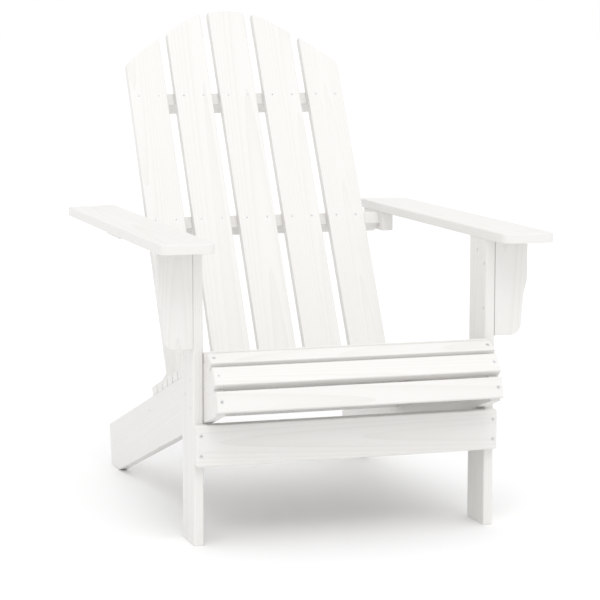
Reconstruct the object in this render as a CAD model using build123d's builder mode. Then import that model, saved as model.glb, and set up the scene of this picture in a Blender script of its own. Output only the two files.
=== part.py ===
"""Slatted garden armchair in painted softwood, as separate boards and screws.

All lengths are millimetres.  X runs to the chair's left-right, Y runs from the
front to the back, Z is up.  The floor is Z = 0, the front of the chair faces -Y
and the origin lies on the floor under the middle of the overall box.
"""
from build123d import *
from math import atan2, cos, degrees, radians, sin, tan
import os

os.makedirs("parts", exist_ok=True)

# ---------------------------------------------------------------- overall frame
LEG_FRONT_Y = -343.5      # front faces of the legs, measured from the origin
ARM_TOP_Z = 523.0         # top of the arm boards
ARM_T = 17.0              # thickness of the arm boards
ARM_UNDER_Z = ARM_TOP_Z - ARM_T
ARM_OUT_X = 347.5         # outer edges of the arms, half the overall width
ARM_IN_X = 252.5          # inner edges of the arms
ARM_FRONT = -84.0         # arm's front edge, from the leg fronts
ARM_REAR_IN = 674.0       # arm's rear end at its inner edge, from the leg fronts
ARM_REAR_OUT = 646.0      # and at its outer edge
ARM_FRONT_R = 16.0        # rounding of the arm's corners
ARM_REAR_IN_R = 22.0
ARM_REAR_OUT_R = 8.0

# ---------------------------------------------------------------- legs and apron
BOARD_T = 18.0            # legs, side rails, apron, brackets
LEG_OUT_X = 272.0
LEG_IN_X = LEG_OUT_X - BOARD_T
LEG_D = 76.5              # depth of a leg, front to back
APRON_HALF = 271.5
APRON_LOW_Z = 138.5
APRON_TOP_Z = 210.0

# ---------------------------------------------------------------- side rails
RAIL_SLOPE = 18.0         # seat and side rails drop to the rear at this angle
RAIL_TOP_AT_LEG = 313.9   # height of the rails' top line over the leg fronts
RAIL_W = 98.0             # width of the rail board, square to its slope
RAIL_IN_X = LEG_IN_X - BOARD_T
RAIL_REAR_TOP = 724.0
RAIL_REAR_LOW = 710.0
NOSE_2 = (-39.5, 305.0)   # second and third corners of the rounded front
NOSE_3 = (-62.0, 277.0)
NOSE_4 = -73.6            # lowest corner of the front, on the rail's lower line
NOSE_TILT = 27.0          # tilt of the foremost upper facet

# ---------------------------------------------------------------- seat slats
SEAT_T = 17.0
SEAT_W = 36.0
SEAT_COUNT = 10
SEAT_PITCH = 39.4
SEAT_FIRST = 1.2          # gap behind the corner where the seat begins
SEAT_HALF = LEG_IN_X - 0.25
NOSE_TOP_W = 28.6         # the narrower slat over the front corner

# ---------------------------------------------------------------- back
BACK_LEAN = 29.58         # lean of the back from upright
BACK_AT_300 = 423.6       # front of the back slats at Z = 300, from the leg fronts
BACK_T = 16.5
BACK_W = 73.4
BACK_PITCH = 90.4
BACK_FOOT = -152.0        # lower ends of the slats, along the slats from Z = 300
BACK_CROWN = 685.1        # highest point of the middle slat, along the slats
CROWN_MID_R = 7.0         # rounding of the middle slat's top corners
CROWN_HIGH_R = 3.0        # and of the other slats' corners, on their higher side
CROWN_LOW_R = 9.0         # and on their lower side
CROWN = [(0.0, 0.0), (38.0, 2.8), (56.0, 7.0), (91.0, 24.0), (128.0, 48.5),
         (150.0, 63.0), (185.0, 88.5), (222.0, 120.5)]
STOCK_D = 38.0            # depth of the cross rails behind the slats
STOCK_H = 25.0            # height of the cross rails along the slats
UPPER_RAIL = 485.6        # lower faces of the cross rails, along the slats
LOWER_RAIL = 221.0
SEAT_RAIL = -96.0
FOOT_RAIL = -149.5
UPPER_RAIL_HALF = 206.0
SEAT_RAIL_HALF = 217.0

# ---------------------------------------------------------------- arm supports
CLEAT_W = 22.0
CLEAT_H = 36.0
REAR_CLEAT_IN_X = 253.0
REAR_CLEAT_Y = (531.0, 641.0)
LEG_CLEAT_Y = (20.0, 74.0)
BRACKET_W = 60.5
BRACKET_Y = 0.5
BRACKET_LOW_Z = 336.5

# ---------------------------------------------------------------- screws
SHANK_R = 2.0
HEAD_R = 3.6
HEAD_T = 2.4
HEAD_SINK = 0.4           # depth of the head's face below the wood
SHORT_L = 30.0
LONG_L = 47.0
TIP_L = 4.0


def at_y(y):
    """Distance behind the leg fronts turned into a Y of the chair's frame."""
    return LEG_FRONT_Y + y


def top_line(y):
    """Height of the side rails' top line at a distance behind the leg fronts."""
    return RAIL_TOP_AT_LEG - y * tan(radians(RAIL_SLOPE))


def low_line(y):
    """Height of the side rails' lower line at a distance behind the leg fronts."""
    return top_line(y) - RAIL_W / cos(radians(RAIL_SLOPE))


def plane_between(rear, front):
    """Plane lying on a facet, its local Y running from the front point rearwards."""
    dy = rear[0] - front[0]
    dz = rear[1] - front[1]
    angle = atan2(dz, dy)
    return Plane(origin=(0, at_y(front[0]), front[1]), x_dir=(1, 0, 0),
                 z_dir=(0, -sin(angle), cos(angle)))


def on(plane, x, y, flip=False):
    """Location of a screw head lying flush in a plane, driven against its normal."""
    place = plane.location * Location((x, y, 0))
    if flip:
        place = place * Location((0, 0, 0), (180, 0, 0))
    return place


def sideways(x, y, z, inward):
    """Location of a screw driven level along X, inwards or outwards."""
    side = 1 if x > 0 else -1
    turn = 90 * side if inward else -90 * side
    return Location((x, at_y(y), z), (0, turn, 0))


# front profile of the side rails: where the seat line meets the tilted facet
NOSE_RISE = tan(radians(NOSE_TILT))
NOSE_1_Y = RAIL_TOP_AT_LEG - NOSE_2[1] + NOSE_2[0] * NOSE_RISE
NOSE_1_Y = NOSE_1_Y / (NOSE_RISE + tan(radians(RAIL_SLOPE)))
NOSE_1 = (NOSE_1_Y, top_line(NOSE_1_Y))
NOSE_LOW = (NOSE_4, low_line(NOSE_4))
FLOOR_FRONT = (RAIL_TOP_AT_LEG - RAIL_W / cos(radians(RAIL_SLOPE))) / tan(radians(RAIL_SLOPE))

FACET_A = plane_between(NOSE_1, NOSE_2)
FACET_B = plane_between(NOSE_2, NOSE_3)
FACET_C = plane_between(NOSE_3, NOSE_LOW)
SEAT = plane_between((NOSE_1[0] + 100.0, top_line(NOSE_1[0] + 100.0)), NOSE_1)

LEAN = radians(BACK_LEAN)
BACK = Plane(origin=(0, at_y(BACK_AT_300), 300.0), x_dir=(1, 0, 0),
             z_dir=(0, -cos(LEAN), sin(LEAN)))
BACK_REAR = BACK.offset(-BACK_T)

# ------------------------------------------------------------- screw positions
RAIL_MID_X = (LEG_IN_X + RAIL_IN_X) / 2.0

seat_rows = [(FACET_C, 22.2), (FACET_B, SEAT_W / 2), (FACET_A, 15.0)]
for i in range(SEAT_COUNT):
    seat_rows.append((SEAT, SEAT_FIRST + i * SEAT_PITCH + SEAT_W / 2))
seat_screw_rows = []
for plane, y in seat_rows:
    seat_screw_rows.append([on(plane.offset(SEAT_T), side * RAIL_MID_X, y) for side in (-1, 1)])

BACK_ROWS = [UPPER_RAIL + STOCK_H / 2, LOWER_RAIL + STOCK_H / 2,
             SEAT_RAIL + STOCK_H / 2, FOOT_RAIL + STOCK_H / 2]
SCREW_STEP = 20.0
back_screw_rows = []
for i in range(5):
    centre = (i - 2) * BACK_PITCH
    row = []
    for along in BACK_ROWS:
        row.append(on(BACK, centre - SCREW_STEP, along))
        row.append(on(BACK, centre + SCREW_STEP, along))
    back_screw_rows.append(row)

FOOT_SCREW = BACK_REAR * Pos(0, FOOT_RAIL + STOCK_H / 2, -STOCK_D / 2)
foot_at = (FOOT_SCREW.position.Y - LEG_FRONT_Y, FOOT_SCREW.position.Z)

LEG_SCREWS = [(17.5, 283.0), (54.5, 252.5), (17.5, 234.5)]
APRON_SCREWS = [157.5, 192.0]
frame_screws_at = {-1: [], 1: []}
apron_screws_at = {-1: [], 1: []}
foot_screws_at = {-1: [], 1: []}
bracket_screws_at = {-1: [], 1: []}
cleat_screws_at = {-1: [], 1: []}
under_screws_at = {-1: [], 1: []}
rear_side_screws_at = {-1: [], 1: []}
REAR_RAIL_MID = BACK_REAR * Pos(0, LOWER_RAIL + STOCK_H / 2, -STOCK_D / 2)
rear_rail_at = (REAR_RAIL_MID.position.Y - LEG_FRONT_Y, REAR_RAIL_MID.position.Z)
CLEAT_LOW_Z = ARM_UNDER_Z - CLEAT_H
CLEAT_MID_X = LEG_OUT_X + CLEAT_W / 2
REAR_CLEAT_MID_X = REAR_CLEAT_IN_X + CLEAT_W / 2
for side in (-1, 1):
    for y, z in LEG_SCREWS:
        frame_screws_at[side].append(sideways(side * LEG_OUT_X, y, z, True))
    for z in APRON_SCREWS:
        spot = (side * (LEG_OUT_X - BOARD_T / 2), at_y(-BOARD_T), z)
        apron_screws_at[side].append(Location(spot, (90, 0, 0)))
    foot_screws_at[side].append(sideways(side * LEG_IN_X, foot_at[0], foot_at[1], True))
    for z in (463.0, 384.5):
        bracket_screws_at[side].append(sideways(side * LEG_IN_X, BRACKET_Y + 9.0, z, False))
    cleat_screws_at[side].append(sideways(side * LEG_IN_X, 41.0, 484.0, False))
    under_screws_at[side].append(
        Location((side * CLEAT_MID_X, at_y(60.0), CLEAT_LOW_Z), (180, 0, 0)))
    for y in (REAR_CLEAT_Y[0] + 18.0, REAR_CLEAT_Y[1] - 18.0):
        under_screws_at[side].append(
            Location((side * REAR_CLEAT_MID_X, at_y(y), CLEAT_LOW_Z), (180, 0, 0)))
    rear_side_screws_at[side].append(
        sideways(side * (REAR_CLEAT_IN_X + CLEAT_W), rear_rail_at[0], rear_rail_at[1], True))

# ------------------------------------------------------------- screw patterns
# a countersunk head, a plain shank and a short point; local Z = 0 is the wood's face,
# and the bore's cone goes on from the head's rim up to it
HEAD_LOW = -HEAD_SINK - HEAD_T
BORE_R = HEAD_R + HEAD_SINK * (HEAD_R - SHANK_R) / HEAD_T
with BuildPart() as short_bore:
    with BuildSketch(Plane.XZ):
        with BuildLine():
            Polyline((0, 0), (BORE_R, 0), (SHANK_R, HEAD_LOW), (SHANK_R, TIP_L - SHORT_L),
                     (0, -SHORT_L), close=True)
        make_face()
    revolve(axis=Axis.Z)

with BuildPart() as long_bore:
    with BuildSketch(Plane.XZ):
        with BuildLine():
            Polyline((0, 0), (BORE_R, 0), (SHANK_R, HEAD_LOW), (SHANK_R, TIP_L - LONG_L),
                     (0, -LONG_L), close=True)
        make_face()
    revolve(axis=Axis.Z)

# what is taken off a bore's shape to leave the screw: the sunk disc over its head
with BuildPart() as over_head:
    with BuildSketch(Plane.XY):
        Circle(BORE_R + 1)
    extrude(amount=-HEAD_SINK)

# cross recess of the driver, cut into every head
with BuildPart() as recess:
    with BuildSketch(Plane.XY.offset(-HEAD_SINK)):
        Rectangle(3.8, 0.9)
        Rectangle(0.9, 3.8)
    extrude(amount=-1.7, taper=12)

with BuildPart() as short_screw:
    add(short_bore.part)
    add(over_head.part, mode=Mode.SUBTRACT)
    add(recess.part, mode=Mode.SUBTRACT)

with BuildPart() as long_screw:
    add(long_bore.part)
    add(over_head.part, mode=Mode.SUBTRACT)
    add(recess.part, mode=Mode.SUBTRACT)


def export(builder, label):
    """Label one finished sub-part and write it under the same name."""
    builder.part.label = label
    export_step(builder.part, "parts/" + label + ".step")


# ------------------------------------------------------------- front legs
for side, tag in ((-1, "left"), (1, "right")):
    with BuildPart() as leg:
        with BuildSketch(Plane.XY):
            with Locations((side * (LEG_OUT_X - BOARD_T / 2), at_y(LEG_D / 2))):
                Rectangle(BOARD_T, LEG_D)
        extrude(amount=ARM_UNDER_Z)
        fillet(leg.edges().filter_by(Axis.Z), 3.5)
        fillet(leg.faces().sort_by(Axis.Z)[0].edges(), 1.2)
        with Locations(*frame_screws_at[side], *apron_screws_at[side],
                       *bracket_screws_at[side], *cleat_screws_at[side]):
            add(short_bore.part, mode=Mode.SUBTRACT)
    export(leg, "front_leg_" + tag)

# ------------------------------------------------------------- sloping side rails
for side, tag in ((-1, "left"), (1, "right")):
    with BuildPart() as side_rail:
        with BuildSketch(Plane.YZ.offset(-LEG_IN_X if side < 0 else RAIL_IN_X)):
            with BuildLine():
                Polyline((at_y(NOSE_1[0]), NOSE_1[1]), (at_y(NOSE_2[0]), NOSE_2[1]),
                         (at_y(NOSE_3[0]), NOSE_3[1]), (at_y(NOSE_LOW[0]), NOSE_LOW[1]),
                         (at_y(FLOOR_FRONT), 0), (at_y(RAIL_REAR_LOW), 0),
                         (at_y(RAIL_REAR_TOP), top_line(RAIL_REAR_TOP)), close=True)
            make_face()
        extrude(amount=BOARD_T)
        fillet(side_rail.faces().filter_by(Axis.X).edges(), 1.5)
        with Locations(*frame_screws_at[side], *foot_screws_at[side]):
            add(short_bore.part, mode=Mode.SUBTRACT)
        seat_holes = [row[0 if side < 0 else 1] for row in seat_screw_rows]
        with Locations(*seat_holes):
            add(short_bore.part, mode=Mode.SUBTRACT)
    export(side_rail, "side_rail_" + tag)

# ------------------------------------------------------------- front apron
with BuildPart() as apron:
    with BuildSketch(Plane.XZ.offset(-at_y(0))):
        with Locations((0, (APRON_LOW_Z + APRON_TOP_Z) / 2)):
            RectangleRounded(2 * APRON_HALF, APRON_TOP_Z - APRON_LOW_Z, 5.0)
    extrude(amount=BOARD_T)
    fillet(apron.faces().sort_by(Axis.Y)[0].edges(), 3.0)
    fillet(apron.faces().sort_by(Axis.Y)[-1].edges(), 1.2)
    with Locations(*apron_screws_at[-1], *apron_screws_at[1]):
        add(short_bore.part, mode=Mode.SUBTRACT)
export(apron, "front_apron")

# ------------------------------------------------------------- seat slats
seat_labels = ["nose_slat_lower", "nose_slat_middle", "nose_slat_upper"]
seat_labels += ["seat_slat_" + str(i + 1) for i in range(SEAT_COUNT)]
seat_spans = [(FACET_C, 4.2, 4.2 + SEAT_W), (FACET_B, 0.2, 0.2 + SEAT_W - 1.2),
              (FACET_A, 0.7, 0.7 + NOSE_TOP_W - 0.6)]
for i in range(SEAT_COUNT):
    start = SEAT_FIRST + i * SEAT_PITCH
    seat_spans.append((SEAT, start, start + SEAT_W))
for label, span, screws in zip(seat_labels, seat_spans, seat_screw_rows):
    plane, front, rear = span
    with BuildPart() as slat:
        with BuildSketch(plane):
            with Locations((0, (front + rear) / 2)):
                Rectangle(2 * SEAT_HALF, rear - front)
        extrude(amount=SEAT_T)
        by_height = slat.faces().sort_by(lambda f: (f.center() - plane.origin).dot(plane.z_dir))
        fillet(by_height[-1].edges(), 2.5)
        fillet(by_height[0].edges(), 1.0)
        with Locations(*screws):
            add(short_bore.part, mode=Mode.SUBTRACT)
    export(slat, label)

# ------------------------------------------------------------- back slats
crown_points = [(-x, BACK_CROWN - drop) for x, drop in reversed(CROWN[1:])]
crown_points += [(x, BACK_CROWN - drop) for x, drop in CROWN]
for i in range(5):
    centre = (i - 2) * BACK_PITCH
    with BuildPart() as back_slat:
        with BuildSketch(BACK) as outline:
            with BuildLine():
                Spline(*crown_points)
                Line(crown_points[-1], (CROWN[-1][0], BACK_FOOT))
                Line((CROWN[-1][0], BACK_FOOT), (-CROWN[-1][0], BACK_FOOT))
                Line((-CROWN[-1][0], BACK_FOOT), crown_points[0])
            make_face()
            with Locations((centre, (BACK_FOOT + BACK_CROWN) / 2)):
                Rectangle(BACK_W, BACK_CROWN - BACK_FOOT + 10, mode=Mode.INTERSECT)
            low_corner, high_corner = outline.vertices().sort_by(Axis.Y)[-2:]
            fillet(low_corner, CROWN_MID_R if i == 2 else CROWN_LOW_R)
            fillet(high_corner, CROWN_MID_R if i == 2 else CROWN_HIGH_R)
        extrude(amount=-BACK_T)
        by_depth = back_slat.faces().sort_by(lambda f: (f.center() - BACK.origin).dot(BACK.z_dir))
        fillet(by_depth[-1].edges(), 2.0)
        fillet(by_depth[0].edges(), 1.2)
        with Locations(*back_screw_rows[i]):
            add(short_bore.part, mode=Mode.SUBTRACT)
    export(back_slat, "back_slat_" + str(i + 1))

# ------------------------------------------------------------- cross rails
rails = [("back_rail_upper", UPPER_RAIL, UPPER_RAIL_HALF, 0),
         ("back_rail_lower", LOWER_RAIL, REAR_CLEAT_IN_X, 1),
         ("back_rail_seat", SEAT_RAIL, SEAT_RAIL_HALF, 2),
         ("back_rail_foot", FOOT_RAIL, RAIL_IN_X, 3)]
for label, along, half, level in rails:
    with BuildPart() as cross_rail:
        with BuildSketch(BACK_REAR):
            with Locations((0, along + STOCK_H / 2)):
                Rectangle(2 * half, STOCK_H)
        extrude(amount=-STOCK_D)
        chamfer(cross_rail.edges().filter_by(Axis.X), 1.0)
        holes = []
        for row in back_screw_rows:
            holes += row[2 * level:2 * level + 2]
        with Locations(*holes):
            add(short_bore.part, mode=Mode.SUBTRACT)
        if level == 1:
            with Locations(*rear_side_screws_at[-1], *rear_side_screws_at[1]):
                add(long_bore.part, mode=Mode.SUBTRACT)
        if level == 3:
            with Locations(*foot_screws_at[-1], *foot_screws_at[1]):
                add(short_bore.part, mode=Mode.SUBTRACT)
    export(cross_rail, label)

# ------------------------------------------------------------- arms
for side, tag in ((-1, "left"), (1, "right")):
    with BuildPart() as arm:
        with BuildSketch(Plane.XY.offset(ARM_UNDER_Z)) as outline:
            with BuildLine():
                Polyline((side * ARM_OUT_X, at_y(ARM_FRONT)),
                         (side * ARM_OUT_X, at_y(ARM_REAR_OUT)),
                         (side * ARM_IN_X, at_y(ARM_REAR_IN)),
                         (side * ARM_IN_X, at_y(ARM_FRONT)), close=True)
            make_face()
            corners = outline.vertices().sort_by(Axis.Y)
            fillet(corners[:2], ARM_FRONT_R)
            fillet(corners[2], ARM_REAR_OUT_R)
            fillet(corners[3], ARM_REAR_IN_R)
        extrude(amount=ARM_T)
        fillet(arm.faces().sort_by(Axis.Z)[-1].edges(), 2.5)
        fillet(arm.faces().sort_by(Axis.Z)[0].edges(), 1.5)
        with Locations(*under_screws_at[side]):
            add(long_bore.part, mode=Mode.SUBTRACT)
    export(arm, "arm_" + tag)

# ------------------------------------------------------------- brackets under the arms
for side, tag in ((-1, "left"), (1, "right")):
    with BuildPart() as bracket:
        with BuildSketch(Plane.XZ.offset(-at_y(BRACKET_Y))) as shape:
            with BuildLine():
                Polyline((side * LEG_OUT_X, BRACKET_LOW_Z),
                         (side * LEG_OUT_X, ARM_UNDER_Z),
                         (side * (LEG_OUT_X + BRACKET_W), ARM_UNDER_Z),
                         (side * (LEG_OUT_X + BRACKET_W), 433.0),
                         (side * (LEG_OUT_X + 53.5), 406.5),
                         (side * (LEG_OUT_X + 48.5), BRACKET_LOW_Z), close=True)
            make_face()
            bottom = shape.vertices().group_by(Axis.Y)[0]
            corner = bottom.sort_by(Axis.X)[-1 if side > 0 else 0]
            fillet(corner, 20.0)
        extrude(amount=-BOARD_T)
        outer = bracket.edges().group_by(Axis.Y)[0] + bracket.edges().group_by(Axis.Y)[-1]
        outer = outer.filter_by(lambda e: abs(e.center().X) > LEG_OUT_X + 10
                                and e.center().Z < ARM_UNDER_Z - 1)
        fillet(outer, 2.0)
        with Locations(*bracket_screws_at[side]):
            add(short_bore.part, mode=Mode.SUBTRACT)
    export(bracket, "arm_bracket_" + tag)

# ------------------------------------------------------------- cleats under the arms
for side, tag in ((-1, "left"), (1, "right")):
    with BuildPart() as leg_cleat:
        with BuildSketch(Plane.XY.offset(CLEAT_LOW_Z)):
            with Locations((side * CLEAT_MID_X, at_y(sum(LEG_CLEAT_Y) / 2))):
                Rectangle(CLEAT_W, LEG_CLEAT_Y[1] - LEG_CLEAT_Y[0])
        extrude(amount=CLEAT_H)
        chamfer(leg_cleat.edges(), 1.0)
        with Locations(*cleat_screws_at[side]):
            add(short_bore.part, mode=Mode.SUBTRACT)
        with Locations(under_screws_at[side][0]):
            add(long_bore.part, mode=Mode.SUBTRACT)
    export(leg_cleat, "leg_cleat_" + tag)

for side, tag in ((-1, "left"), (1, "right")):
    with BuildPart() as rear_cleat:
        with BuildSketch(Plane.XY.offset(CLEAT_LOW_Z)):
            with Locations((side * REAR_CLEAT_MID_X, at_y(sum(REAR_CLEAT_Y) / 2))):
                Rectangle(CLEAT_W, REAR_CLEAT_Y[1] - REAR_CLEAT_Y[0])
        extrude(amount=CLEAT_H)
        chamfer(rear_cleat.edges(), 1.0)
        with Locations(*under_screws_at[side][1:], *rear_side_screws_at[side]):
            add(long_bore.part, mode=Mode.SUBTRACT)
    export(rear_cleat, "rear_cleat_" + tag)

# ------------------------------------------------------------- screws
with BuildPart() as seat_screws:
    with Locations(*[spot for row in seat_screw_rows for spot in row]):
        add(short_screw.part)
export(seat_screws, "seat_screws")

with BuildPart() as back_screws:
    with Locations(*[spot for row in back_screw_rows for spot in row]):
        add(short_screw.part)
export(back_screws, "back_screws")

with BuildPart() as frame_screws:
    with Locations(*frame_screws_at[-1], *frame_screws_at[1],
                   *apron_screws_at[-1], *apron_screws_at[1],
                   *foot_screws_at[-1], *foot_screws_at[1],
                   *bracket_screws_at[-1], *bracket_screws_at[1],
                   *cleat_screws_at[-1], *cleat_screws_at[1]):
        add(short_screw.part)
export(frame_screws, "frame_screws")

with BuildPart() as arm_screws:
    with Locations(*under_screws_at[-1], *under_screws_at[1],
                   *rear_side_screws_at[-1], *rear_side_screws_at[1]):
        add(long_screw.part)
export(arm_screws, "arm_screws")
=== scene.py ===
"""Looks, light and camera of a slatted garden armchair in white painted fir.

The boards are the fixed frame's own and get their paint here, each one cut from its own
log so that no two show the same grain.  The screws are made here.  Lengths are metres in
the chair's frame: X left-right, -Y the front, Z up from the floor.
"""

import math

import bpy
import numpy as np
from mathutils import Matrix, Vector


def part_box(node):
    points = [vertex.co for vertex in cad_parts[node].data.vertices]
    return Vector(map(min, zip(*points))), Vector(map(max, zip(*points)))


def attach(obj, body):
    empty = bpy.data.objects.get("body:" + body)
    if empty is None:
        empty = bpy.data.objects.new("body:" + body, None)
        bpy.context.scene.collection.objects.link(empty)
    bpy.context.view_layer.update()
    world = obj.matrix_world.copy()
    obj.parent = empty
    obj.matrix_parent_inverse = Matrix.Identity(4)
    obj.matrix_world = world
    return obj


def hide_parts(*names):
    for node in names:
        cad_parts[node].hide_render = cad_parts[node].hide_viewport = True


bl_info = {
    "name": "Garden Armchair",
    "version": (1, 0, 0),
    "blender": (4, 5, 0),
    "location": "View3D > Sidebar > Garden Chair",
    "description": "Paints a slatted garden armchair, drives its screws and sets its stage",
    "category": "Object",
}

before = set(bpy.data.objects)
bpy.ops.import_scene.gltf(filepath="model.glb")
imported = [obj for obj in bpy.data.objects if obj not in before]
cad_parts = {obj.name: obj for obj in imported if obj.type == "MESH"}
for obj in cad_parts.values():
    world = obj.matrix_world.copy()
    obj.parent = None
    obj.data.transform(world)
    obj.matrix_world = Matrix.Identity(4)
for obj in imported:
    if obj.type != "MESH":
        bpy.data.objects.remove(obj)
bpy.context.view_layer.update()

MM = 0.001
BODY = "root"

# ------------------------------------------------------------- directions of the boards
RAIL_SLOPE = math.radians(18.0)
BACK_LEAN = math.radians(29.58)
ACROSS = (1.0, 0.0, 0.0)
UPRIGHT = (0.0, 0.0, 1.0)
REARWARD = (0.0, 1.0, 0.0)
DOWN_THE_RAIL = (0.0, math.cos(RAIL_SLOPE), -math.sin(RAIL_SLOPE))
UP_THE_BACK = (0.0, math.sin(BACK_LEAN), math.cos(BACK_LEAN))

# ------------------------------------------------------------- how a board lies in its log
HEART_ALONG = 0.30        # the log's heart is shifted along the board by up to this
HEART_ASIDE = 0.030       # and sideways by up to this
HEART_NEAR = 0.035        # depth of the heart behind the face, least and most
HEART_FAR = 0.095
HEART_TILT = math.radians(1.3)
GRAIN_STRETCH = 20.0      # grain figures are this much longer than wide
RING_WANDER = 5.0         # how far, and how finely, the rings wander from true circles
RING_DETAIL = 3.0
RING_DETAIL_SCALE = 0.035
RING_DETAIL_ROUGH = 0.55
LATE_WOOD_POWER = 2.5     # narrows each ring's dark late wood
FIBRE_PER_MM = 0.9        # fibres and brush marks across the board; real fibres are far
                          # finer, and are drawn this coarse so that they show
FIBRE_DETAIL = 4.0
FIBRE_ROUGH = 0.6
CLOUD_PER_MM = 0.045      # broad patches where the late wood shows more or less
CLOUD_DETAIL = 2.0
STREAK_GAIN = 0.55        # how much the fibres tint the paint, and from what level
STREAK_FROM = -0.12
PAINT_GLOSS_SPREAD = 0.16 # full range of the paint's roughness
PAINT_IOR = 1.5
WAVE_TURN = 2 * math.pi / 20.0   # the wave texture's scale for one ring per unit

# sockets of the Mix node when it mixes colours
MIX_A = 6
MIX_B = 7
MIX_OUT = 2


def colour(text):
    """Linear colour of an sRGB hex value: the inverse sRGB curve, channel by channel."""
    values = [int(text[i:i + 2], 16) / 255 for i in (0, 2, 4)]
    return tuple(v / 12.92 if v <= 0.04045 else ((v + 0.055) / 1.055) ** 2.4 for v in values)


# ============================================================= settings
class PaintSettings(bpy.types.PropertyGroup):
    """White paint and the fir under it."""
    film: bpy.props.FloatVectorProperty(
        name="Paint", description="Colour of the paint where it lies thick",
        subtype="COLOR", size=3, min=0, max=1, default=colour("E6E5E3"))
    thin: bpy.props.FloatVectorProperty(
        name="Thin Paint", description="Colour where the late wood shows through the paint",
        subtype="COLOR", size=3, min=0, max=1, default=colour("DDDBD7"))
    ring: bpy.props.FloatProperty(
        name="Growth Ring", description="Width of one year's growth",
        default=3.4 * MM, min=0.5 * MM, max=20 * MM, unit="LENGTH")
    relief: bpy.props.FloatProperty(
        name="Ring Relief", description="Height of the grain standing through the paint",
        default=0.04 * MM, min=0, max=1 * MM, precision=5, unit="LENGTH")
    brush: bpy.props.FloatProperty(
        name="Brush Relief", description="Height of the fine fibre and brush marks",
        default=0.05 * MM, min=0, max=1 * MM, precision=5, unit="LENGTH")
    roughness: bpy.props.FloatProperty(
        name="Roughness", description="Roughness of the satin paint",
        default=0.46, min=0, max=1, subtype="FACTOR")


class ScrewSettings(bpy.types.PropertyGroup):
    """Countersunk cross-head wood screws."""
    zinc: bpy.props.FloatVectorProperty(
        name="Zinc", description="Colour of the zinc plating",
        subtype="COLOR", size=3, min=0, max=1, default=colour("E4E5E5"))
    roughness: bpy.props.FloatProperty(
        name="Roughness", description="Roughness of the plating",
        default=0.50, min=0, max=1, subtype="FACTOR")
    head: bpy.props.FloatProperty(
        name="Head Radius", description="Radius of the countersunk head",
        default=3.6 * MM, min=1 * MM, max=10 * MM, unit="LENGTH")
    shank: bpy.props.FloatProperty(
        name="Crest Radius", description="Radius over the thread's crests",
        default=2.0 * MM, min=0.5 * MM, max=5 * MM, unit="LENGTH")
    pitch: bpy.props.FloatProperty(
        name="Thread Pitch", description="Distance from one thread crest to the next",
        default=2.2 * MM, min=0.5 * MM, max=6 * MM, unit="LENGTH")


class StageSettings(bpy.types.PropertyGroup):
    """Floor, light and camera."""
    floor: bpy.props.FloatVectorProperty(
        name="Floor", description="Colour of the floor",
        subtype="COLOR", size=3, min=0, max=1, default=colour("F8F8F8"))
    floor_radius: bpy.props.FloatProperty(
        name="Floor Radius", description="Radius of the round floor",
        default=60.0, min=2, max=200, unit="LENGTH")
    sky: bpy.props.FloatProperty(
        name="Fill Light", description="Brightness of the even white surround",
        default=1.00, min=0, max=5)
    key: bpy.props.FloatProperty(
        name="Key Light", description="Strength of the large soft light over the front",
        default=0.78, min=0, max=20)
    aim: bpy.props.FloatVectorProperty(
        name="Aim", description="Point that the camera looks at",
        subtype="TRANSLATION", size=3, default=(-0.006, -0.011, 0.358))
    distance: bpy.props.FloatProperty(
        name="Distance", description="Distance of the camera from its aim",
        default=4.091, min=0.5, max=50, unit="LENGTH")
    azimuth: bpy.props.FloatProperty(
        name="Azimuth", description="Turn of the camera round the chair towards its left",
        default=math.radians(17.22), subtype="ANGLE")
    elevation: bpy.props.FloatProperty(
        name="Elevation", description="Height of the camera above the horizon",
        default=math.radians(7.684), subtype="ANGLE")
    lens: bpy.props.FloatProperty(
        name="Lens", description="Focal length in millimetres on a 36 mm sensor",
        default=132.8, min=10, max=500)


# ============================================================= nodes and materials
def add(tree, kind, inputs=None, **settings):
    """Add a node with its settings, and fill its inputs with links or plain values."""
    made = tree.nodes.new(kind)
    for name, value in settings.items():
        setattr(made, name, value)
    for key, value in (inputs or {}).items():
        if isinstance(value, bpy.types.NodeSocket):
            tree.links.new(value, made.inputs[key])
        else:
            made.inputs[key].default_value = value
    return made


def new_tree(name):
    """An empty material and its node tree."""
    material = bpy.data.materials.new(name)
    material.use_nodes = True
    material.node_tree.nodes.clear()
    return material, material.node_tree


def face_normal(mesh):
    """The direction with the most flat area: facet normals, folded onto one side, rounded
    and summed by area."""
    count = len(mesh.polygons)
    normals = np.empty(count * 3)
    areas = np.empty(count)
    mesh.polygons.foreach_get("normal", normals)
    mesh.polygons.foreach_get("area", areas)
    normals = np.round(normals.reshape(-1, 3), 2)
    leading = np.argmax(np.abs(normals), axis=1)
    normals *= np.sign(normals[np.arange(count), leading])[:, None]
    kinds, which = np.unique(normals, axis=0, return_inverse=True)
    total = np.bincount(which.ravel(), weights=areas)
    return Vector(kinds[np.argmax(total)]).normalized()


def log_of(node_name, length, rng):
    """Place and turn of the log that a board was cut from: the board's own middle, moved
    along, aside and back to the heart, and its axes, tilted a little so that the rings
    run out of the face."""
    low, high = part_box(node_name)
    along = Vector(length).normalized()
    out = face_normal(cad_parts[node_name].data)
    out = (out - along * out.dot(along)).normalized()
    aside = out.cross(along)
    heart = (low + high) / 2
    heart += along * rng.uniform(-HEART_ALONG, HEART_ALONG)
    heart += aside * rng.uniform(-HEART_ASIDE, HEART_ASIDE)
    heart += out * rng.uniform(HEART_NEAR, HEART_FAR) * rng.choice((-1, 1))
    axes = Matrix((along, aside, out)).transposed()
    tilt = Matrix.Rotation(rng.uniform(-HEART_TILT, HEART_TILT), 3, aside)
    swing = Matrix.Rotation(rng.uniform(-HEART_TILT, HEART_TILT), 3, out)
    return heart, (tilt @ swing @ axes).to_euler()


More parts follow.
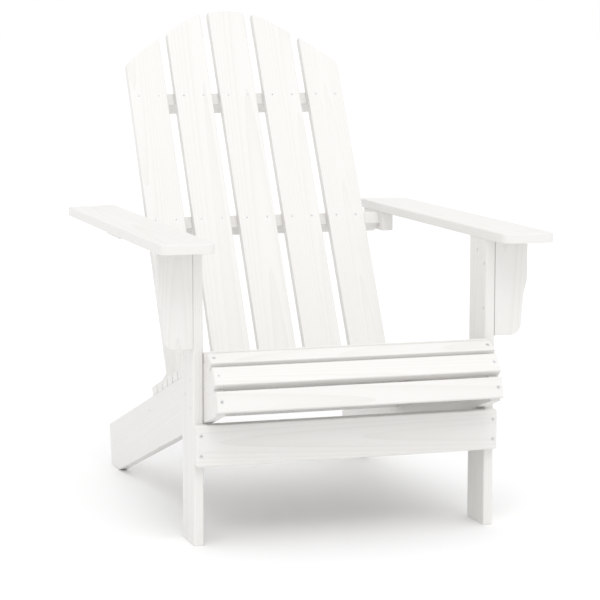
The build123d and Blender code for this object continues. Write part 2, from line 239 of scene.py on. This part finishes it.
def painted_fir(node_name, length, paint, rng):
    """Fir board, planed, and brushed twice with satin white paint.

    The eye gets an even white that is a touch greyer where late wood stands through the
    film, long fine streaks along the board, arcs on its ends, and a soft sheen that the
    brush marks break up."""
    material, tree = new_tree("painted_fir_" + node_name)
    heart, turn = log_of(node_name, length, rng)
    at = add(tree, "ShaderNodeTexCoord").outputs["Object"]
    log = add(tree, "ShaderNodeMapping",
              {"Vector": at, "Location": heart, "Rotation": turn,
               "Scale": (GRAIN_STRETCH * MM, MM, MM)}, vector_type="TEXTURE").outputs[0]
    rings = add(tree, "ShaderNodeTexWave",
                {"Vector": log, "Scale": WAVE_TURN * MM / paint.ring,
                 "Distortion": RING_WANDER, "Detail": RING_DETAIL,
                 "Detail Scale": RING_DETAIL_SCALE,
                 "Detail Roughness": RING_DETAIL_ROUGH},
                wave_type="RINGS", rings_direction="X", wave_profile="SAW").outputs["Fac"]
    fibres = add(tree, "ShaderNodeTexNoise",
                 {"Vector": log, "Scale": FIBRE_PER_MM, "Detail": FIBRE_DETAIL,
                  "Roughness": FIBRE_ROUGH}).outputs["Fac"]
    cloud = add(tree, "ShaderNodeTexNoise",
                {"Vector": log, "Scale": CLOUD_PER_MM, "Detail": CLOUD_DETAIL}
                ).outputs["Fac"]
    late = add(tree, "ShaderNodeMath", {0: rings, 1: LATE_WOOD_POWER},
               operation="POWER").outputs[0]
    streak = add(tree, "ShaderNodeMath", {0: fibres, 1: STREAK_GAIN, 2: STREAK_FROM},
                 operation="MULTIPLY_ADD").outputs[0]
    show = add(tree, "ShaderNodeMath", {0: late, 1: cloud, 2: streak},
               operation="MULTIPLY_ADD", use_clamp=True).outputs[0]
    tint = add(tree, "ShaderNodeMix",
               {0: show, MIX_A: (*paint.film, 1), MIX_B: (*paint.thin, 1)},
               data_type="RGBA").outputs[MIX_OUT]
    gloss = add(tree, "ShaderNodeMath",
                {0: fibres, 1: PAINT_GLOSS_SPREAD,
                 2: paint.roughness - PAINT_GLOSS_SPREAD / 2},
                operation="MULTIPLY_ADD").outputs[0]
    brushed = add(tree, "ShaderNodeBump",
                  {"Height": fibres, "Distance": paint.brush, "Strength": 1.0}).outputs[0]
    grained = add(tree, "ShaderNodeBump",
                  {"Height": rings, "Distance": paint.relief, "Strength": 1.0,
                   "Normal": brushed}).outputs[0]
    shader = add(tree, "ShaderNodeBsdfPrincipled",
                 {"Base Color": tint, "Roughness": gloss, "IOR": PAINT_IOR,
                  "Normal": grained})
    add(tree, "ShaderNodeOutputMaterial", {"Surface": shader.outputs[0]})
    return material


ZINC_MOTTLE = 1.2 * MM        # size, depth and shade of the plating's uneven patches
ZINC_MOTTLE_DEEP = 0.03 * MM
ZINC_MOTTLE_SHADE = 0.85
ZINC_GLOSS_SPREAD = 0.2


def zinc_steel(settings):
    """Zinc-plated steel, stamped and rolled: a dull bright grey, slightly uneven, with a
    soft broken reflection."""
    material, tree = new_tree("zinc_plated_steel")
    at = add(tree, "ShaderNodeTexCoord").outputs["Object"]
    mottle = add(tree, "ShaderNodeTexNoise",
                 {"Vector": at, "Scale": 1 / ZINC_MOTTLE, "Detail": 3.0}).outputs["Fac"]
    tint = add(tree, "ShaderNodeMix",
               {0: mottle,
                MIX_A: tuple(ZINC_MOTTLE_SHADE * c for c in settings.zinc) + (1,),
                MIX_B: (*settings.zinc, 1)}, data_type="RGBA").outputs[MIX_OUT]
    rough = add(tree, "ShaderNodeMath",
                {0: mottle, 1: ZINC_GLOSS_SPREAD,
                 2: settings.roughness - ZINC_GLOSS_SPREAD / 2},
                operation="MULTIPLY_ADD").outputs[0]
    skin = add(tree, "ShaderNodeBump",
               {"Height": mottle, "Distance": ZINC_MOTTLE_DEEP, "Strength": 1.0}).outputs[0]
    shader = add(tree, "ShaderNodeBsdfPrincipled",
                 {"Base Color": tint, "Roughness": rough, "Metallic": 1.0, "Normal": skin})
    add(tree, "ShaderNodeOutputMaterial", {"Surface": shader.outputs[0]})
    return material


def put_on(obj, material):
    """Give an object one material in all its slots."""
    if not obj.material_slots:
        obj.data.materials.append(material)
    for slot in obj.material_slots:
        slot.material = material


# ============================================================= surfaces
def ring_mesh(points):
    """Points and faces of a stack of rings, rows by columns: four-cornered faces between
    neighbours, with the last column joined to the first."""
    rows, columns = points.shape[:2]
    index = np.arange(rows * columns).reshape(rows, columns)
    index = np.hstack((index, index[:, :1]))
    faces = np.stack((index[:-1, :-1], index[:-1, 1:], index[1:, 1:], index[1:, :-1]), -1)
    return points.reshape(-1, 3), faces.reshape(-1, 4)


# ------------------------------------------------------------- screws
CROSS_HALF_LONG = 1.95 * MM    # reach and half width of the driver's cross
CROSS_HALF_WIDE = 0.50 * MM
CROSS_DEEP = 1.5 * MM
HEAD_DEEP = 2.4 * MM
THREAD_DEEP = 0.55 * MM
TIP_LONG = 4.0 * MM
RIM_ROUND = 0.15 * MM
CROSS_LIP = 0.10 * MM          # height over which the cross's mouth opens
CROSS_EDGE = 0.01 * MM
CLOSED = 0.02                  # a ring this small closes the surface
NECK = 0.4 * MM                # plain length under the head
THREAD_START = 3 * MM          # length over which the thread comes up to full depth
STEPS_PER_PITCH = 4


def cross_angles():
    """Angles round the head that hit each corner of the cross, with one between each."""
    corner = math.atan2(CROSS_HALF_WIDE, CROSS_HALF_LONG)
    quarter = np.array([0, corner, (corner + math.pi / 4) / 2, math.pi / 4])
    quarter = np.concatenate((quarter, math.pi / 2 - quarter[2:0:-1]))
    return (quarter[None, :] + np.arange(4)[:, None] * math.pi / 2).ravel()


def cross_radius(angles):
    """Outline of the cross: for each direction, the nearer of the arm's end and its side."""
    turned = (angles + math.pi / 4) % (math.pi / 2) - math.pi / 4
    end = CROSS_HALF_LONG / np.cos(turned)
    side = CROSS_HALF_WIDE / np.maximum(np.abs(np.sin(turned)), 1e-6)
    return np.minimum(end, side)


def screw_surface(long, settings):
    """A screw as rings of points: the cross grows from its bottom to its rim, the rim
    widens to the round head, the head tapers to the shank, and down the shank the radius
    drops from crest to root and back once for every pitch and every turn."""
    angles = cross_angles()
    cross = cross_radius(angles)
    round_one = np.ones_like(angles)
    head = settings.head
    rings = [
        (CLOSED * cross, -CROSS_DEEP), (0.55 * cross, -0.88 * CROSS_DEEP),
        (0.90 * cross, -CROSS_LIP), (1.04 * cross, -CROSS_EDGE),
        (0.5 * (cross + head * round_one), 0.0),
        ((head - RIM_ROUND) * round_one, 0.0), (head * round_one, -RIM_ROUND),
        (settings.shank * round_one, -HEAD_DEEP),
    ]
    heights = np.arange(-HEAD_DEEP - NECK, -long, -settings.pitch / STEPS_PER_PITCH)
    level, angle = np.meshgrid(heights, angles, indexing="ij")
    turn = level / settings.pitch - angle / (2 * math.pi)
    crest = 1 - np.abs(2 * (turn % 1.0) - 1)
    start = np.clip((-HEAD_DEEP - level) / THREAD_START, 0, 1)
    radius = settings.shank - THREAD_DEEP * start * (1 - crest ** 2)
    radius = radius * np.clip((level + long) / TIP_LONG, CLOSED, 1)
    ring_radii = np.vstack([r for r, _ in rings] + [radius])
    ring_levels = np.concatenate(([z for _, z in rings], heights))
    x = ring_radii * np.cos(angles)
    y = ring_radii * np.sin(angles)
    z = np.broadcast_to(ring_levels[:, None], x.shape)
    return ring_mesh(np.stack((x, y, z), -1))


def screw_places(node_name):
    """Where each screw of a group sits: for every separate solid, the middle of its head's
    rim, the direction out of the head and the length, from the solid's own points."""
    scratch = bpy.data.objects.new("scratch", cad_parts[node_name].data.copy())
    bpy.context.scene.collection.objects.link(scratch)
    bpy.ops.object.select_all(action="DESELECT")
    bpy.context.view_layer.objects.active = scratch
    scratch.select_set(True)
    bpy.ops.object.mode_set(mode="EDIT")
    bpy.ops.mesh.select_all(action="SELECT")
    bpy.ops.mesh.remove_doubles(threshold=0.005 * MM)
    bpy.ops.mesh.separate(type="LOOSE")
    bpy.ops.object.mode_set(mode="OBJECT")
    places = []
    for part in list(bpy.context.selected_objects):
        points = np.empty(len(part.data.vertices) * 3)
        part.data.vertices.foreach_get("co", points)
        points = points.reshape(-1, 3)
        middle = points.mean(0)
        axis = np.linalg.svd(points - middle, full_matrices=False)[2][0]
        reach = np.linalg.norm(np.cross(points - middle, axis), axis=1)
        rim = points[reach > 0.9 * reach.max()]
        centre = rim.mean(0)
        axis = axis * np.sign((centre - middle) @ axis)
        along = (points - centre) @ axis
        places.append((Vector(centre + axis * along.max()), Vector(axis),
                       along.max() - along.min()))
        bpy.data.objects.remove(part)
    return places


def screw_group(name, node_name, settings, material):
    """All screws of one group as one mesh that stands for its node."""
    points, faces, count = [], [], 0
    for head, out, long in screw_places(node_name):
        shape, quads = screw_surface(long, settings)
        turn = np.array(out.to_track_quat("Z", "Y").to_matrix())
        points.append(shape @ turn.T + np.array(head))
        faces.append(quads + count)
        count += len(shape)
    mesh = bpy.data.meshes.new(name)
    mesh.from_pydata(np.concatenate(points), [], np.concatenate(faces))
    mesh.validate()
    piece = bpy.data.objects.new(name, mesh)
    bpy.context.scene.collection.objects.link(piece)
    mesh.materials.append(material)
    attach(piece, BODY)
    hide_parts(node_name)
    return piece


# ============================================================= operators for the boards
class PaintBoards:
    """Shared work of the operators that paint boards."""
    boards = ()
    grain = ACROSS
    seed = 0

    def execute(self, context):
        paint = context.scene.chair_paint
        for i, name in enumerate(self.boards):
            rng = np.random.default_rng(self.seed + i)
            material = painted_fir(name, self.grain, paint, rng)
            put_on(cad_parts[name], material)
        return {"FINISHED"}


class PaintLegs(PaintBoards, bpy.types.Operator):
    """Paint the front legs, their grain upright"""
    bl_idname = "garden_chair.paint_legs"
    bl_label = "Front Legs"
    boards = ("front_leg_left", "front_leg_right")
    grain = UPRIGHT
    seed = 10


class PaintSideRails(PaintBoards, bpy.types.Operator):
    """Paint the sloping side rails, their grain down the slope"""
    bl_idname = "garden_chair.paint_side_rails"
    bl_label = "Side Rails"
    boards = ("side_rail_left", "side_rail_right")
    grain = DOWN_THE_RAIL
    seed = 20


class PaintApron(PaintBoards, bpy.types.Operator):
    """Paint the apron across the legs"""
    bl_idname = "garden_chair.paint_apron"
    bl_label = "Front Apron"
    boards = ("front_apron",)
    seed = 30


class PaintSeat(PaintBoards, bpy.types.Operator):
    """Paint the slats of the seat and of its rounded front"""
    bl_idname = "garden_chair.paint_seat"
    bl_label = "Seat Slats"
    boards = ("nose_slat_lower", "nose_slat_middle", "nose_slat_upper",
              *("seat_slat_%d" % i for i in range(1, 11)))
    seed = 40


class PaintBack(PaintBoards, bpy.types.Operator):
    """Paint the five tall slats of the back, their grain up the lean"""
    bl_idname = "garden_chair.paint_back"
    bl_label = "Back Slats"
    boards = tuple("back_slat_%d" % i for i in range(1, 6))
    grain = UP_THE_BACK
    seed = 60


class PaintCrossRails(PaintBoards, bpy.types.Operator):
    """Paint the cross rails behind the back"""
    bl_idname = "garden_chair.paint_cross_rails"
    bl_label = "Cross Rails"
    boards = ("back_rail_upper", "back_rail_lower", "back_rail_seat", "back_rail_foot")
    seed = 80


class PaintArms(PaintBoards, bpy.types.Operator):
    """Paint the arms, their grain front to rear"""
    bl_idname = "garden_chair.paint_arms"
    bl_label = "Arms"
    boards = ("arm_left", "arm_right")
    grain = REARWARD
    seed = 90


class PaintSupports(PaintBoards, bpy.types.Operator):
    """Paint the brackets under the arms, their grain upright"""
    bl_idname = "garden_chair.paint_supports"
    bl_label = "Arm Brackets"
    boards = ("arm_bracket_left", "arm_bracket_right")
    grain = UPRIGHT
    seed = 100


class PaintCleats(PaintBoards, bpy.types.Operator):
    """Paint the cleats that hold the arms, their grain front to rear"""
    bl_idname = "garden_chair.paint_cleats"
    bl_label = "Cleats"
    boards = ("leg_cleat_left", "leg_cleat_right", "rear_cleat_left", "rear_cleat_right")
    grain = REARWARD
    seed = 110


class DriveScrews(bpy.types.Operator):
    """Make the zinc-plated cross-head screws of all four groups"""
    bl_idname = "garden_chair.drive_screws"
    bl_label = "Screws"

    def execute(self, context):
        settings = context.scene.chair_screws
        steel = zinc_steel(settings)
        for node_name in ("seat_screws", "back_screws", "frame_screws", "arm_screws"):
            screw_group(node_name + "_made", node_name, settings, steel)
        return {"FINISHED"}


# ============================================================= stage
FLOOR_RINGS = 12
FLOOR_SIDES = 96
FLOOR_HUB = 0.02               # the innermost ring, as a share of the rings' count


def round_floor(settings):
    """Flat round floor: rings whose radius grows as the cube of their number."""
    steps = np.linspace(FLOOR_HUB, 1, FLOOR_RINGS)[:, None] ** 3 * settings.floor_radius
    angles = np.linspace(0, 2 * math.pi, FLOOR_SIDES, endpoint=False)[None, :]
    points = np.stack((steps * np.cos(angles), steps * np.sin(angles),
                       np.zeros((FLOOR_RINGS, FLOOR_SIDES))), -1)
    points, faces = ring_mesh(points)
    mesh = bpy.data.meshes.new("floor")
    mesh.from_pydata(points, [], [*faces.tolist(), list(range(FLOOR_SIDES))])
    mesh.validate()
    return bpy.data.objects.new("floor", mesh)


def matte_paper(settings):
    """Matt white background paper: even, with a trace of mottling and no sheen."""
    material, tree = new_tree("matte_paper")
    at = add(tree, "ShaderNodeTexCoord").outputs["Object"]
    mottle = add(tree, "ShaderNodeTexNoise", {"Vector": at, "Scale": 3.0}).outputs["Fac"]
    tint = add(tree, "ShaderNodeMix",
               {0: mottle, MIX_A: (*settings.floor, 1),
                MIX_B: tuple(0.985 * c for c in settings.floor) + (1,)},
               data_type="RGBA").outputs[MIX_OUT]
    shader = add(tree, "ShaderNodeBsdfPrincipled",
                 {"Base Color": tint, "Roughness": 0.9, "Specular IOR Level": 0.1})
    add(tree, "ShaderNodeOutputMaterial", {"Surface": shader.outputs[0]})
    return material


KEY_FROM = (-0.12, -0.66, 1.00)     # direction in which the soft key light stands
KEY_SPREAD = math.radians(40.0)     # its width as seen from the chair
SHIFT_X = 0.0233
SHIFT_Y = 0.0091


class SetStage(bpy.types.Operator):
    """Lay the floor, set the light and place the camera"""
    bl_idname = "garden_chair.set_stage"
    bl_label = "Stage"

    def execute(self, context):
        scene = context.scene
        stage = scene.chair_stage
        floor = round_floor(stage)
        scene.collection.objects.link(floor)
        floor.data.materials.append(matte_paper(stage))

        world = bpy.data.worlds.new("white_surround")
        world.use_nodes = True
        world.node_tree.nodes.clear()
        sky = add(world.node_tree, "ShaderNodeBackground",
                  {"Color": (1, 1, 1, 1), "Strength": stage.sky})
        add(world.node_tree, "ShaderNodeOutputWorld", {"Surface": sky.outputs[0]})
        scene.world = world

        key = bpy.data.lights.new("key", "SUN")
        key.energy = stage.key
        key.angle = KEY_SPREAD
        lamp = bpy.data.objects.new("key", key)
        lamp.location = KEY_FROM
        lamp.rotation_euler = Vector(KEY_FROM).to_track_quat("Z", "Y").to_euler()
        scene.collection.objects.link(lamp)

        camera = bpy.data.cameras.new("camera")
        camera.lens = stage.lens
        camera.sensor_width = 36.0
        camera.shift_x = SHIFT_X
        camera.shift_y = SHIFT_Y
        holder = bpy.data.objects.new("camera", camera)
        level = math.cos(stage.elevation)
        back = Vector((-math.sin(stage.azimuth) * level, -math.cos(stage.azimuth) * level,
                       math.sin(stage.elevation)))
        holder.location = Vector(stage.aim) + back * stage.distance
        holder.rotation_euler = back.to_track_quat("Z", "Y").to_euler()
        scene.collection.objects.link(holder)
        scene.camera = holder
        scene.view_settings.view_transform = "Standard"
        return {"FINISHED"}


# ============================================================= panel and registration
class ChairPanel(bpy.types.Panel):
    """Sidebar panel with the chair's settings and its steps"""
    bl_idname = "VIEW3D_PT_garden_chair"
    bl_label = "Garden Armchair"
    bl_space_type = "VIEW_3D"
    bl_region_type = "UI"
    bl_category = "Garden Chair"

    def draw(self, context):
        layout = self.layout
        for title, name in SETTINGS:
            box = layout.box()
            box.label(text=title)
            group = getattr(context.scene, name)
            for prop in group.bl_rna.properties:
                if prop.identifier not in ("rna_type", "name"):
                    box.prop(group, prop.identifier)
        for step in STEPS:
            layout.operator(step.bl_idname)


STEPS = (PaintLegs, PaintSideRails, PaintApron, PaintSeat, PaintBack, PaintCrossRails,
         PaintArms, PaintSupports, PaintCleats, DriveScrews, SetStage)
GROUPS = {"chair_paint": PaintSettings, "chair_screws": ScrewSettings,
          "chair_stage": StageSettings}
SETTINGS = (("Paint", "chair_paint"), ("Screws", "chair_screws"), ("Stage", "chair_stage"))


def register():
    for group in GROUPS.values():
        bpy.utils.register_class(group)
    for name, group in GROUPS.items():
        setattr(bpy.types.Scene, name, bpy.props.PointerProperty(type=group))
    for step in STEPS:
        bpy.utils.register_class(step)
    bpy.utils.register_class(ChairPanel)


def unregister():
    bpy.utils.unregister_class(ChairPanel)
    for step in reversed(STEPS):
        bpy.utils.unregister_class(step)
    for name in GROUPS:
        delattr(bpy.types.Scene, name)
    for group in GROUPS.values():
        bpy.utils.unregister_class(group)


def main():
    register()
    bpy.ops.garden_chair.set_stage()
    bpy.ops.garden_chair.paint_legs()
    bpy.ops.garden_chair.paint_side_rails()
    bpy.ops.garden_chair.paint_apron()
    bpy.ops.garden_chair.paint_seat()
    bpy.ops.garden_chair.paint_back()
    bpy.ops.garden_chair.paint_cross_rails()
    bpy.ops.garden_chair.paint_arms()
    bpy.ops.garden_chair.paint_supports()
    bpy.ops.garden_chair.paint_cleats()
    bpy.ops.garden_chair.drive_screws()


if __name__ == "__main__":
    main()
